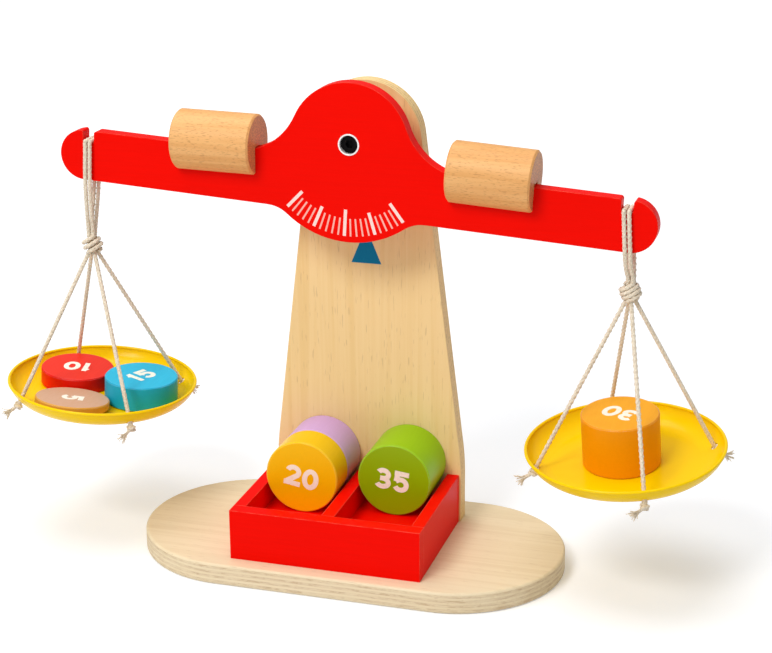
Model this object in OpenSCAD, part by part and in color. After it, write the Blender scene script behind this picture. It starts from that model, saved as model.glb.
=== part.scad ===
// A toy balance scale: a painted beam with a pan hung at each end, on a plywood
// stand with a tray for seven turned weights. Millimetres, +X to the viewer's
// right, +Y away from the viewer, +Z up. The origin is the middle of the base's
// underside. The beam leans a little to the right, as it stands when it balances.

/* [Base] */
// Length of the round-ended base board
base_l = 240; // [200:1:300]
// Width of the base board
base_w = 120; // [110:1:150]
// Thickness of the base board
base_t = 12; // [9:0.5:18]
// Rounding of the base board's edges
base_edge_r = 1.5; // [0.5:0.1:3]

/* [Post] */
// Thickness of the post
post_t = 10; // [8:0.5:14]
// Width of the post's foot
post_foot_w = 109; // [90:1:130]
// Radius of the post's round head
post_head_r = 31.5; // [24:0.5:40]
// Height of the top of the post above the pivot
post_head_rise = 29.1; // [20:0.1:40]
// Height above the table at which the post starts to narrow
post_shoulder_z = 47; // [42:1:90]
// Radius that blends the foot's upright sides into the narrowing ones
post_blend_r = 150; // [60:5:250]
// Strip of the base that shows behind the post
back_margin = 19.5; // [12:0.5:22]

/* [Tray] */
// Strip of the base that shows in front of the tray
front_margin = 9.5; // [5:0.5:20]
// Room beside a weight in its pocket
pocket_gap = 1.6; // [0.8:0.1:6]
// Height of the tray's walls
tray_h = 28.3; // [24:0.1:34]
// Thickness of the tray's side walls
tray_side_t = 6.8; // [4:0.1:7.5]
// Thickness of the tray's front wall
tray_front_t = 8; // [5:0.1:12]
// Thickness of the wall between the two pockets
tray_divider_t = 7.2; // [4:0.1:8]
// Thickness of the tray's raised floor
tray_floor_t = 14.6; // [11:0.1:20]

/* [Pivot] */
// Height of the pivot above the table
pivot_z = 233.4; // [220:0.1:250]
// Diameter of the pivot bolt's shank
bolt_d = 6; // [4:0.5:7]
// Diameter of the pivot bolt's round head
bolt_head_d = 9.4; // [8:0.1:10]
// Thickness of the pivot bolt's head
bolt_head_t = 3.2; // [2:0.1:3.6]
// Width across the flats of the key socket in the bolt's head
bolt_key_w = 4; // [2.5:0.5:5]
// Depth of the bolt's head below the front of its bush
bolt_recess = 2; // [0.5:0.1:3]
// Outer diameter of the metal bush in the beam
bush_d = 11.6; // [11.2:0.1:16]
// How far the bush stands proud of the beam's front
bush_proud = 0.4; // [0.1:0.1:1]
// Length of the wooden spacer between the beam and the post
spacer_l = 20.6; // [18:0.1:26]
// Outer diameter of the wooden spacer
spacer_d = 24; // [16:1:40]
// Outer diameter of the washer behind the post
washer_d = 18; // [12:1:24]
// Thickness of the washer
washer_t = 1.2; // [0.8:0.1:2]
// Width across the flats of the cap nut
nut_w = 10; // [9:0.5:13]
// Height of the cap nut's hexagon
nut_h = 5; // [3:0.5:7]

/* [Beam] */
// Thickness of the beam
beam_t = 8; // [6.5:0.1:10]
// Radius of the dome over the pivot
dome_r = 33; // [28:0.5:40]
// Radius of the graduated lobe under the pivot
lobe_r = 53.2; // [48:0.2:56]
// Drop from the pivot to the top edge of the arms
arm_drop = 10.3; // [8:0.1:12]
// Height of the arms
arm_h = 27.8; // [26:0.1:29]
// Reach at which the dome's shoulder runs out into the arm
shoulder_reach = 63.6; // [58:0.1:64]
// Reach at which the lobe runs out into the arm's lower edge
lobe_reach = 43.6; // [42:0.1:52]
// Reach from the pivot to the middle of each hook slot
hook_reach = 149; // [140:0.1:160]
// Length of each arm past the middle of its hook slot
arm_tip_l = 16.6; // [12:0.1:24]
// Width of the hook slots
slot_w = 6.4; // [6:0.1:8]
// Drop from the pivot to the lowest point of the slots
slot_drop = 18.3; // [16:0.1:20]
// Rounding of the slots' mouths
slot_mouth_r = 1.6; // [0.5:0.1:2.5]
// Lean of the balanced beam, right end down, in degrees
beam_lean = 3.5; // [0:0.1:6]

/* [Counterweights] */
// Diameter of the sliding counterweights
counter_d = 32.6; // [28:0.1:36]
// Length of the counterweights
counter_l = 45; // [36:0.5:45]
// Bevel at the ends of the counterweights
counter_bevel = 1; // [0.3:0.1:2]
// Drop from the pivot to the counterweights' centre line
counter_drop = 8; // [6:0.1:10]
// Gap between the arm's top edge and the roof of a counterweight's slot
counter_roof_gap = 1.4; // [1.3:0.1:3]
// Reach of the left counterweight's middle from the pivot
left_counter_reach = 74.5; // [74.5:0.1:118]
// Reach of the right counterweight's middle from the pivot
right_counter_reach = 77.9; // [77:0.1:118]
// Lean of the left counterweight, whose inner end rides up the dome's shoulder, in degrees
left_counter_lean = 2.5; // [2.5:0.1:3]
// Lean of the right counterweight, in degrees
right_counter_lean = 0; // [0:0.1:3]

/* [Pans] */
// Outer diameter of the pans
pan_d = 107.2; // [106:0.2:114]
// Depth of the pans inside
pan_depth = 9.2; // [8:0.1:12]
// Radius of the flat floor of the pans
pan_floor_r = 40; // [38:0.5:42]
// Thickness of the pans' sheet metal
pan_t = 0.9; // [0.6:0.1:1.5]
// Radius of the bead around the pans' rim
pan_bead_r = 0.9; // [0.8:0.05:1.2]
// Radius on which the four cord holes lie
hole_reach = 48; // [46.5:0.1:49]
// Diameter of the cord holes
hole_d = 4.2; // [3.8:0.1:5]

/* [Cords] */
// Diameter of the cotton cord
cord_d = 2.6; // [2:0.1:2.7]
// Diameter of the knot that gathers the cords
knot_d = 12; // [11:0.1:14]
// Height of the gathering knot
knot_h = 14; // [13:0.1:16]
// Diameter of the stopper knots under the pans
stopper_d = 5.6; // [5:0.1:7]
// Length of the loose cord ends
tail_l = 9; // [5:0.5:12]
// Drop from the left hook to the middle of its knot
left_loop_l = 60.9; // [50:0.1:70]
// Drop from the right hook to the middle of its knot
right_loop_l = 44.9; // [42:0.1:60]
// Height of the left knot's middle above the left pan's rim
left_leg_h = 80.4; // [72:0.1:86]
// Height of the right knot's middle above the right pan's rim
right_leg_h = 85.3; // [80:0.1:92]

/* [Weights] */
// Diameter of all seven weights
weight_d = 41.5; // [38:0.1:41.6]
// Thickness of a weight for each gram of its value
gram_t = 0.95; // [0.8:0.01:0.96]
// Bevel around the edges of the weights
weight_bevel = 0.6; // [0.2:0.1:1]

/* [Screws] */
// Diameter of the wood screws
screw_d = 3.5; // [3:0.1:4.5]
// Diameter of the wood screws' countersunk heads
screw_head_d = 7; // [6:0.1:9]
// Length of the wood screws
screw_l = 22; // [18:1:24]

/* [Hidden] */
$fn = 64;

// Overrun of every cut past the face that it leaves
over = 1;
// Running clearance between the beam and its neighbours along the pivot
run_gap = 0.3;
// Radial clearance of the bush on the bolt's shank
shank_gap = 0.05;
// Clearance around the bolt in the post, the spacer and the washer, on the diameter
bolt_clear = 0.3;
// Clearance around the bolt's head inside the bush, on the diameter
head_clear = 0.6;
// Clearance of the counterweights' slots on each face of the beam
slide_gap = 0.15;
// Gap that seats a piece on a hard surface without pressing on it
seat_gap = 0.05;
// Gap between weights that stand next to each other
weight_gap = 0.2;
// Gap between the two cords of a hanger loop
strand_gap = 0.1;
// Gap between a soft piece and its neighbour
soft_gap = 0.3;
// Clearance around a wood screw in the board that it pulls down, on the diameter
screw_clear = 0.5;

// Place of each screw in the post's foot, as a share of the foot's width
foot_screw_share = 0.36;
// Width of a wood screw's point, as a share of its shank
screw_point_share = 0.25;

// Places of the pieces along Y
post_back_y = base_w / 2 - back_margin;
post_face_y = post_back_y - post_t;
beam_back_y = post_face_y - spacer_l - run_gap;
beam_face_y = beam_back_y - beam_t;
beam_mid_y = beam_face_y + beam_t / 2;
tray_face_y = front_margin - base_w / 2;
tray_d = post_face_y - tray_face_y;
tray_floor_top_z = base_t + tray_floor_t;
pocket_w = weight_d + pocket_gap;
pocket_x = (tray_divider_t + pocket_w) / 2;
tray_w = tray_divider_t + 2 * (pocket_w + tray_side_t);

// Places in the beam's own frame, whose origin is the pivot
arm_top = -arm_drop;
arm_bottom = -arm_drop - arm_h;
nose_r = arm_h / 2;
nose_u = hook_reach + arm_tip_l - nose_r;
nose_v = arm_bottom + nose_r;
hook_v = slot_w / 2 - slot_drop;
counter_top_v = counter_roof_gap - arm_drop;
shoulder_r = (pow(shoulder_reach, 2) + pow(arm_drop, 2) - pow(dome_r, 2)) / (2 * (dome_r + arm_drop));
lobe_blend_r = (pow(lobe_reach, 2) + pow(arm_bottom, 2) - pow(lobe_r, 2)) / (2 * (lobe_r + arm_bottom));

// Each side's values in one list, left first
side_sign = [-1, 1];
loop_l = [left_loop_l, right_loop_l];
leg_h = [left_leg_h, right_leg_h];
counter_reach = [left_counter_reach, right_counter_reach];
counter_lean = [left_counter_lean, right_counter_lean];
// Sideways shift of each knot and pan from the plumb line of its hook, as shares of the cord's diameter
knot_shift_share = [-1.17, 0.98];
pan_shift_share = [-0.6, 1.1];
// How far the back edge and the right edge of each pan hang high, in degrees, as the hand-tied legs differ
pan_pitch = [0.3, 5.8];
pan_roll = [-4.2, 3];
// Turn of each pan's four cord holes about its centre, in degrees
leg_turn = [43, 21];

// Each hook's place in the part's frame: the middle of the round bottom of its slot
function lean(u, v) = [u * cos(beam_lean) + v * sin(beam_lean), v * cos(beam_lean) - u * sin(beam_lean)];
function hook_x(s) = lean(side_sign[s] * hook_reach, hook_v)[0];
function hook_z(s) = pivot_z + lean(side_sign[s] * hook_reach, hook_v)[1];
function knot_at(s) = [hook_x(s) + knot_shift_share[s] * cord_d, beam_mid_y, hook_z(s) - loop_l[s]];
function pan_at(s) = [hook_x(s) + pan_shift_share[s] * cord_d, beam_mid_y, knot_at(s)[2] - leg_h[s]];

// Pan profile: the wall is an arc from the flat floor up to the rim
pan_rim_r = pan_d / 2 - pan_bead_r;
pan_wall_run = pan_rim_r - pan_t / 2 - pan_floor_r;
pan_wall_r = (pow(pan_wall_run, 2) + pow(pan_depth, 2)) / (2 * pan_depth);
function wall_rise(r) = r <= pan_floor_r ? 0 : pan_wall_r - sqrt(pow(pan_wall_r, 2) - pow(r - pan_floor_r, 2));

// Weights in the pans, heaviest first: value in grams, side, then the offset of the disc from the
// pan's centre as a share of its diameter and the direction of that offset in degrees
pan_weight_share = [[30, 1, 0.05, 199], [15, 0, 0.554, 7], [10, 0, 0.566, 153.4], [5, 0, 0.722, 259.8]];

red_paint = [0.89, 0.06, 0.03];
plywood = [0.87, 0.76, 0.58];
beech = [0.82, 0.6, 0.4];
pan_yellow = [0.96, 0.78, 0.05];
cotton = [0.9, 0.86, 0.76];
nickel = [0.8, 0.8, 0.82];
black_steel = [0.08, 0.08, 0.09];
paint_5 = [0.88, 0.7, 0.58];
paint_10 = [0.85, 0.07, 0.05];
paint_15 = [0.2, 0.76, 0.92];
paint_20 = [0.98, 0.72, 0.05];
paint_25 = [0.86, 0.72, 0.9];
paint_30 = [0.98, 0.6, 0.1];
paint_35 = [0.6, 0.72, 0.06];

// Places its children in the leaning beam's frame: X along the arms, Z up, Y through the pivot
module on_beam() {
    translate([0, 0, pivot_z]) rotate([0, beam_lean, 0]) children();
}

// Places its children in the frame of one pan: origin in the middle of its rim
module on_pan(s) {
    translate(pan_at(s)) rotate([pan_pitch[s], -pan_roll[s], 0]) children();
}

// Stands an outline drawn in X and Z up as a board of one thickness
module board(front_y, t) {
    translate([0, front_y + t, 0]) rotate([90, 0, 0]) linear_extrude(height = t) children();
}

// A disc with bevelled edges, its axis along Z
module bevelled_disc(d, h, bevel) {
    rotate_extrude($fn = 96)
        polygon([[0, 0], [d / 2 - bevel, 0], [d / 2, bevel], [d / 2, h - bevel], [d / 2 - bevel, h], [0, h]]);
}

// A countersunk wood screw along +Z, its head's face at the origin
module wood_screw() {
    head_h = (screw_head_d - screw_d) / 2;
    point_h = screw_d;
    cylinder(d1 = screw_head_d, d2 = screw_d, h = head_h, $fn = 32);
    cylinder(d = screw_d, h = screw_l - point_h, $fn = 32);
    translate([0, 0, screw_l - point_h]) cylinder(d1 = screw_d, d2 = screw_d * screw_point_share, h = point_h, $fn = 32);
}

// The countersunk clearance hole for a screw whose head faces -Z, through a board of thickness t
module screw_hole(t) {
    head_h = (screw_head_d - screw_d) / 2;
    translate([0, 0, -over]) cylinder(d = screw_d + screw_clear, h = t + 2 * over, $fn = 32);
    cylinder(d1 = screw_head_d, d2 = screw_d, h = head_h, $fn = 32);
    translate([0, 0, -over]) cylinder(d = screw_head_d, h = over, $fn = 32);
}

// Cord tubes: rings of a regular polygon swept along a route of points
tube_sides = 8;
function unit(v) = v / norm(v);
function tangent_at(p, i) =
    i == 0 ? unit(p[1] - p[0])
    : i == len(p) - 1 ? unit(p[i] - p[i - 1])
    : unit(unit(p[i] - p[i - 1]) + unit(p[i + 1] - p[i]));
function start_normal(t) = unit(cross(t, abs(t[0]) < 0.8 ? [1, 0, 0] : [0, 1, 0]));
function carried(n, t) = unit(n - (n * t) * t);
function normals(p, i = 0, n = undef) =
    i == len(p) ? []
    : let (t = tangent_at(p, i), m = i == 0 ? start_normal(t) : carried(n, t))
      concat([m], normals(p, i + 1, m));
function ring_points(p, d, sides) =
    let (ns = normals(p))
    [for (i = [0 : len(p) - 1])
        let (t = tangent_at(p, i), a = ns[i], b = cross(t, a))
        for (k = [0 : sides - 1])
            p[i] + d / 2 * (a * cos(k * 360 / sides) + b * sin(k * 360 / sides))];
function side_faces(rings, sides) =
    [for (i = [0 : rings - 2], k = [0 : sides - 1])
        each [
            [i * sides + k, (i + 1) * sides + k, (i + 1) * sides + (k + 1) % sides],
            [i * sides + k, (i + 1) * sides + (k + 1) % sides, i * sides + (k + 1) % sides]
        ]];
function end_faces(rings, sides) = [
    [for (k = [0 : sides - 1]) k],
    [for (k = [sides - 1 : -1 : 0]) (rings - 1) * sides + k]
];
module tube(route, d, sides = tube_sides) {
    polyhedron(
        points = ring_points(route, d, sides),
        faces = concat(side_faces(len(route), sides), end_faces(len(route), sides)),
        convexity = 6
    );
}

// Base board: the outline has round ends, and every outer edge is rounded
module base_edge_profile() {
    r = base_w / 2;
    hull_x = r - base_edge_r;
    square([hull_x, base_t]);
    translate([0, base_edge_r]) square([r, base_t - 2 * base_edge_r]);
    for (z = [base_edge_r, base_t - base_edge_r]) translate([hull_x, z]) circle(r = base_edge_r, $fn = 32);
}

module foot_screw_places() {
    for (x = [-1, 1] * post_foot_w * foot_screw_share) translate([x, post_face_y + post_t / 2, 0]) children();
}

module tray_screw_places() {
    for (x = [-pocket_x, pocket_x]) translate([x, post_face_y - tray_d / 2, 0]) children();
}

module base_board() {
    end_x = (base_l - base_w) / 2;
    color(plywood) difference() {
        union() {
            for (m = [0, 1]) mirror([m, 0, 0]) translate([end_x, 0, 0]) rotate([0, 0, -90])
                rotate_extrude(angle = 180, $fn = 128) base_edge_profile();
            for (m = [0, 1]) mirror([0, m, 0]) translate([-end_x, 0, 0]) rotate([90, 0, 90])
                linear_extrude(height = 2 * end_x) base_edge_profile();
        }
        foot_screw_places() screw_hole(base_t);
        tray_screw_places() screw_hole(base_t);
    }
}

module base_screws() {
    color(nickel) {
        foot_screw_places() wood_screw();
        tray_screw_places() wood_screw();
    }
}

// Post: upright foot, straight narrowing sides that run out tangent to the round head
head_z = pivot_z + post_head_rise - post_head_r;
foot_x = post_foot_w / 2;
head_d2 = pow(foot_x, 2) + pow(head_z - post_shoulder_z, 2);
head_a = acos(post_head_r / sqrt(head_d2)) - atan2(head_z - post_shoulder_z, foot_x);
head_tangent = [post_head_r * cos(head_a), head_z + post_head_r * sin(head_a)];
blend_reach = post_blend_r * tan(head_a / 2);
blend_steps = 8;

function post_side() = concat(
    [[foot_x, base_t]],
    [for (i = [0 : blend_steps])
        let (a = i * head_a / blend_steps)
        [foot_x - post_blend_r * (1 - cos(a)), post_shoulder_z - blend_reach + post_blend_r * sin(a)]],
    [head_tangent]
);

module post_outline() {
    side = post_side();
    polygon(concat(side, [for (i = [len(side) - 1 : -1 : 0]) [-side[i][0], side[i][1]]]));
    translate([0, head_z]) circle(r = post_head_r, $fn = 128);
}

module back_screw_places() {
    for (x = [-pocket_x, pocket_x])
        translate([x, post_back_y, base_t + tray_floor_t / 2]) rotate([90, 0, 0]) children();
}

module post() {
    color(plywood) difference() {
        board(post_face_y, post_t) post_outline();
        translate([0, post_face_y - over, pivot_z]) rotate([-90, 0, 0])
            cylinder(d = bolt_d + bolt_clear, h = post_t + 2 * over);
        foot_screw_places() cylinder(d = screw_d, h = screw_l, $fn = 32);
        back_screw_places() screw_hole(post_t);
    }
}

module post_screws() {
    color(nickel) back_screw_places() wood_screw();
}

// Tray: four walls round a raised floor, closed behind by the post
module tray_wall(x0, x1, y0, y1, h) {
    color(red_paint) translate([x0, y0, base_t]) cube([x1 - x0, y1 - y0, h]);
}

module tray_front() tray_wall(-tray_w / 2, tray_w / 2, tray_face_y, tray_face_y + tray_front_t, tray_h);

module tray_left_side()
    tray_wall(-tray_w / 2, tray_side_t - tray_w / 2, tray_face_y + tray_front_t, post_face_y, tray_h);

module tray_right_side()
    tray_wall(tray_w / 2 - tray_side_t, tray_w / 2, tray_face_y + tray_front_t, post_face_y, tray_h);

module tray_divider() {
    color(red_paint) translate([-tray_divider_t / 2, tray_face_y + tray_front_t, tray_floor_top_z])
        cube([tray_divider_t, tray_d - tray_front_t, tray_h - tray_floor_t]);
}

module tray_floor() {
    color(red_paint) difference() {
        translate([tray_side_t - tray_w / 2, tray_face_y + tray_front_t, base_t])
            cube([tray_w - 2 * tray_side_t, tray_d - tray_front_t, tray_floor_t]);
        tray_screw_places() cylinder(d = screw_d, h = screw_l, $fn = 32);
        back_screw_places() cylinder(d = screw_d, h = screw_l, $fn = 32);
    }
}

// Pivot: a bolt through the bush, the spacer, the post and a washer into a cap nut
head_y = beam_face_y - bush_proud + bolt_recess;
nut_y = post_back_y + washer_t;
// Width of the cap nut's dome, as a share of the width across its flats
nut_dome_share = 0.9;
// Depth of the key socket, as a share of the bolt head's thickness
key_depth_share = 0.65;
bolt_l = nut_y + nut_h - head_y - bolt_head_t;

module along_pivot(y) {
    translate([0, y, pivot_z]) rotate([-90, 0, 0]) children();
}

module pivot_bolt() {
    color(black_steel) along_pivot(head_y) difference() {
        union() {
            cylinder(d = bolt_head_d, h = bolt_head_t);
            cylinder(d = bolt_d, h = bolt_head_t + bolt_l);
        }
        translate([0, 0, -over]) cylinder(d = bolt_key_w / cos(30), h = over + bolt_head_t * key_depth_share, $fn = 6);
    }
}

module pivot_bush() {
    bush_l = beam_t + bush_proud;
    pocket_h = bolt_recess + bolt_head_t + shank_gap;
    color(nickel) along_pivot(beam_face_y - bush_proud) difference() {
        cylinder(d = bush_d, h = bush_l);
        translate([0, 0, -over]) cylinder(d = bolt_d + 2 * shank_gap, h = bush_l + 2 * over);
        translate([0, 0, -over]) cylinder(d = bolt_head_d + head_clear, h = over + pocket_h);
    }
}

module pivot_spacer() {
    color(beech) along_pivot(post_face_y - spacer_l) difference() {
        bevelled_disc(spacer_d, spacer_l, counter_bevel);
        translate([0, 0, -over]) cylinder(d = bolt_d + bolt_clear, h = spacer_l + 2 * over);
    }
}

module pivot_washer() {
    color(nickel) along_pivot(post_back_y) difference() {
        cylinder(d = washer_d, h = washer_t);
        translate([0, 0, -over]) cylinder(d = bolt_d + bolt_clear, h = washer_t + 2 * over);
    }
}

module pivot_nut() {
    color(nickel) along_pivot(nut_y) difference() {
        union() {
            cylinder(d = nut_w / cos(30), h = nut_h, $fn = 6);
            translate([0, 0, nut_h]) intersection() {
                sphere(d = nut_w * nut_dome_share, $fn = 48);
                translate([-nut_w, -nut_w, 0]) cube(2 * nut_w);
            }
        }
        translate([0, 0, -over]) cylinder(d = bolt_d, h = nut_h + over);
    }
}

// Thickness at which a concave blend of the beam ends, so that it joins its neighbours in more than a line
blend_end_t = 0.03;

// Beam: dome, lobe and two arms cut from one board, with concave blends between them
module concave_blend(centre, r, corners) {
    difference() {
        polygon(concat([centre], corners));
        translate(centre) circle(r = r - blend_end_t, $fn = 96);
    }
}

module slot_cut() {
    translate([hook_reach, hook_v]) circle(d = slot_w, $fn = 48);
    translate([hook_reach - slot_w / 2, hook_v]) square([slot_w, arm_top - hook_v + over]);
    translate([hook_reach, arm_top]) for (m = [0, 1]) mirror([m, 0]) difference() {
        translate([0, -slot_mouth_r]) square([slot_w / 2 + slot_mouth_r, slot_mouth_r + over]);
        translate([slot_w / 2 + slot_mouth_r, -slot_mouth_r]) circle(r = slot_mouth_r, $fn = 32);
    }
}

module beam_half() {
    shoulder_v = shoulder_r + arm_top;
    lobe_v = arm_bottom - lobe_blend_r;
    difference() {
        union() {
            translate([0, arm_bottom]) square([nose_u, arm_h]);
            translate([nose_u, nose_v]) circle(r = nose_r, $fn = 96);
            concave_blend([shoulder_reach, shoulder_v], shoulder_r, [[0, 0], [0, nose_v], [shoulder_reach, nose_v]]);
            concave_blend([lobe_reach, lobe_v], lobe_blend_r, [[lobe_reach, nose_v], [0, 0]]);
        }
        slot_cut();
    }
}

module beam() {
    color(red_paint) on_beam() difference() {
        board(beam_face_y, beam_t) {
            circle(r = dome_r, $fn = 128);
            intersection() {
                circle(r = lobe_r, $fn = 128);
                translate([-lobe_r, -lobe_r]) square([2 * lobe_r, lobe_r + arm_top]);
            }
            for (m = [0, 1]) mirror([m, 0]) beam_half();
        }
        translate([0, beam_face_y - over, 0]) rotate([-90, 0, 0]) cylinder(d = bush_d, h = beam_t + 2 * over);
    }
}

// Counterweights: beech rounds, each with a slot from below that straddles the arm
module counterweight(s) {
    slot_h = counter_d / 2 + counter_drop + counter_top_v;
    color(beech) on_beam() translate([side_sign[s] * counter_reach[s], beam_mid_y, -counter_drop])
        rotate([0, side_sign[s] * counter_lean[s], 0]) difference() {
            translate([-counter_l / 2, 0, 0]) rotate([0, 90, 0]) bevelled_disc(counter_d, counter_l, counter_bevel);
            translate([-counter_l / 2 - over, -beam_t / 2 - slide_gap, -counter_d / 2 - over])
                cube([counter_l + 2 * over, beam_t + 2 * slide_gap, slot_h + over]);
        }
}

module left_counterweight() counterweight(0);
module right_counterweight() counterweight(1);

// Hanger loops: two cords side by side, through the slot and down both faces of the beam
strand_pitch = cord_d + strand_gap;
face_clear = cord_d / 2 + soft_gap;
strand_dip = sqrt(pow(slot_w / 2 - face_clear, 2) - pow(strand_pitch / 2, 2));
// Where a strand bends over the slot's edge, as shares of its clearance from the face, out and down
bend_shares = [0.7, 0.3];
// Length that hangs plumb below the beam's lower edge, as a share of the cord's diameter
plumb_tail_share = 1.3;
// Distance of each strand from the beam's middle plane where the knot gathers them, as a share of their pitch
bundle_share = 0.55;
plumb_l = (slot_w / 2 - slot_drop + arm_drop + arm_h) / cos(beam_lean) + cord_d * plumb_tail_share;

// One strand from the slot's middle to the knot; way is -1 in front of the beam and 1 behind it
function strand(s, u, way) =
    let (
        k = knot_at(s),
        x = hook_x(s) + u,
        z = hook_z(s) - strand_dip,
        face_y = beam_mid_y + way * beam_t / 2,
        lean_x = (k[0] - hook_x(s)) * plumb_l / loop_l[s],
        bundle_y = beam_mid_y + way * strand_pitch * bundle_share
    ) [
        [x, face_y - way * soft_gap, z],
        [x, face_y + way * face_clear * bend_shares[0], z - face_clear * bend_shares[1]],
        [x, face_y + way * face_clear, z - face_clear],
        [x + lean_x, face_y + way * face_clear, hook_z(s) - plumb_l],
        [k[0] + u, bundle_y, k[2] + knot_swing_r + cord_d / 2],
        [k[0] + u, bundle_y, k[2] + knot_swing_r + soft_gap]
    ];

function reversed(p) = [for (i = [len(p) - 1 : -1 : 0]) p[i]];

module hanger_loop(s) {
    color(cotton) for (u = [-1, 1] * strand_pitch / 2)
        tube(concat(reversed(strand(s, u, -1)), strand(s, u, 1)), cord_d);
}

module left_hanger_loop() hanger_loop(0);
module right_hanger_loop() hanger_loop(1);

// Pans: a flat floor, an arc wall and a beaded rim, with four holes in the wall
module pan_profile() {
    translate([0, -pan_depth - pan_t]) square([pan_floor_r, pan_t]);
    intersection() {
        translate([pan_floor_r, pan_wall_r - pan_depth]) difference() {
            circle(r = pan_wall_r + pan_t, $fn = 128);
            circle(r = pan_wall_r, $fn = 128);
        }
        translate([pan_floor_r, -pan_depth - pan_t]) square([pan_wall_r + pan_t, pan_depth + pan_t]);
    }
    translate([pan_rim_r, 0]) circle(r = pan_bead_r, $fn = 32);
}

// The middle of a pan's cord hole, in the pan's frame
function hole_at(s, k) =
    let (a = leg_turn[s] + 90 * k)
    [hole_reach * cos(a), hole_reach * sin(a), wall_rise(hole_reach) - pan_depth - pan_t / 2];

// A point of a pan's frame in the part's frame
function pan_point(s, p) =
    let (
        a = pan_pitch[s],
        b = -pan_roll[s],
        y = p[1] * cos(a) - p[2] * sin(a),
        z = p[1] * sin(a) + p[2] * cos(a)
    ) pan_at(s) + [p[0] * cos(b) + z * sin(b), y, z * cos(b) - p[0] * sin(b)];

// Turns its children's +Z along a direction
module aim(v) {
    rotate([0, acos(v[2] / norm(v)), atan2(v[1], v[0])]) children();
}

module rod(from, to, d) {
    translate(from) aim(to - from) cylinder(d = d, h = norm(to - from), $fn = 32);
}

module pan(s) {
    color(pan_yellow) difference() {
        on_pan(s) rotate_extrude($fn = 128) pan_profile();
        for (k = [0 : 3]) {
            hole = pan_point(s, hole_at(s, k));
            way = unit(knot_at(s) - hole) * pan_depth / 2;
            rod(hole - way, hole + way, hole_d);
        }
    }
}

module left_pan() pan(0);
module right_pan() pan(1);

// Pan cords: the gathering knot, four legs through the pan's holes, a stopper knot and a loose end below each
wrap_count = 5;
// Lean of the knot's turns, which rise to the right, in degrees
wrap_angle = -25;
// Radius of a turn of the knot, as a share of the cord's diameter
wrap_share = 0.54;
// Height of the last turn's middle, as a share of the most that the knot's height allows
wrap_end_share = 0.82;
wrap_r = cord_d * wrap_share;
wrap_end_h = (knot_h / 2 - wrap_r) * wrap_end_share;
// How much closer the first and last turns lie to the knot's axis than the middle one
wrap_taper = wrap_r;
wrap_end_r = knot_d / 2 - wrap_r - wrap_taper;
knot_swing_r = norm([wrap_end_h, wrap_end_r]) + wrap_r;

// Compass direction of each loose end in degrees, left pan's holes first
tail_turn = [[60, 175, 250, 290], [40, 150, 215, 250]];
// Where each leg starts inside the knot, as a share of the knot's diameter from its middle
leg_root_share = 0.36;
// Angle of the loose ends below level, in degrees
tail_angle = 35;

module gathering_knot() {
    core_h = wrap_end_h + wrap_r / 2;
    rotate([0, wrap_angle, 0]) rotate_extrude($fn = 64) {
        for (i = [0 : wrap_count - 1]) {
            n = 2 * i / (wrap_count - 1) - 1;
            translate([knot_d / 2 - wrap_r - wrap_taper * n * n, n * wrap_end_h]) circle(r = wrap_r, $fn = 32);
        }
        translate([0, -core_h]) square([wrap_end_r + wrap_r / 2, 2 * core_h]);
    }
}

module pan_cords(s) {
    knot = knot_at(s);
    color(cotton) {
        translate(knot) gathering_knot();
        for (k = [0 : 3]) {
            hole = pan_point(s, hole_at(s, k));
            way = unit(hole - knot);
            stopper = hole + way * (pan_t / 2 + seat_gap + stopper_d / 2);
            turn = tail_turn[s][k];
            tail = [cos(turn) * cos(tail_angle), sin(turn) * cos(tail_angle), -sin(tail_angle)];
            rod(knot + way * knot_d * leg_root_share, stopper, cord_d);
            translate(stopper) sphere(d = stopper_d, $fn = 48);
            rod(stopper, stopper + tail * (stopper_d / 2 + tail_l), cord_d);
        }
    }
}

module left_pan_cords() pan_cords(0);
module right_pan_cords() pan_cords(1);

// Weights: discs of one diameter, each as thick as its value asks
module weight(grams) {
    bevelled_disc(weight_d, grams * gram_t, weight_bevel);
}

// A weight lying in a pan, its outer edge raised where it reaches past the flat floor
module panned_weight(i) {
    grams = pan_weight_share[i][0];
    offset_r = pan_weight_share[i][2] * weight_d;
    tilt = asin(wall_rise(offset_r + weight_d / 2) / weight_d);
    on_pan(pan_weight_share[i][1]) rotate([0, 0, pan_weight_share[i][3]])
        translate([offset_r - weight_d / 2, 0, seat_gap - pan_depth]) rotate([0, -tilt, 0])
            translate([weight_d / 2, 0, 0]) weight(grams);
}

// Value of the weight that stands behind another one in the left pocket
rear_grams = 25;

// A weight standing on its edge in a pocket of the tray; back_y is the place of its rear face
module pocket_weight(grams, side, back_y) {
    translate([side * pocket_x, back_y, tray_floor_top_z + weight_d / 2 + seat_gap])
        rotate([90, 0, 0]) weight(grams);
}

module weight_5() color(paint_5) panned_weight(3);
module weight_10() color(paint_10) panned_weight(2);
module weight_15() color(paint_15) panned_weight(1);
module weight_30() color(paint_30) panned_weight(0);
module weight_20()
    color(paint_20) pocket_weight(20, -1, post_face_y - seat_gap - weight_gap - rear_grams * gram_t);
module weight_25() color(paint_25) pocket_weight(rear_grams, -1, post_face_y - seat_gap);
module weight_35() color(paint_35) pocket_weight(35, 1, post_face_y - seat_gap);

base_board();
post();
tray_floor();
tray_front();
tray_left_side();
tray_right_side();
tray_divider();
base_screws();
post_screws();
pivot_bolt();
pivot_spacer();
pivot_washer();
pivot_nut();
beam();
pivot_bush();
left_counterweight();
right_counterweight();
left_hanger_loop();
right_hanger_loop();
left_pan_cords();
right_pan_cords();
left_pan();
right_pan();
weight_5();
weight_10();
weight_15();
weight_20();
weight_25();
weight_30();
weight_35();
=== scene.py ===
"""Looks of a toy balance scale: finishes, painted marks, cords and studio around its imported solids."""

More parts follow.
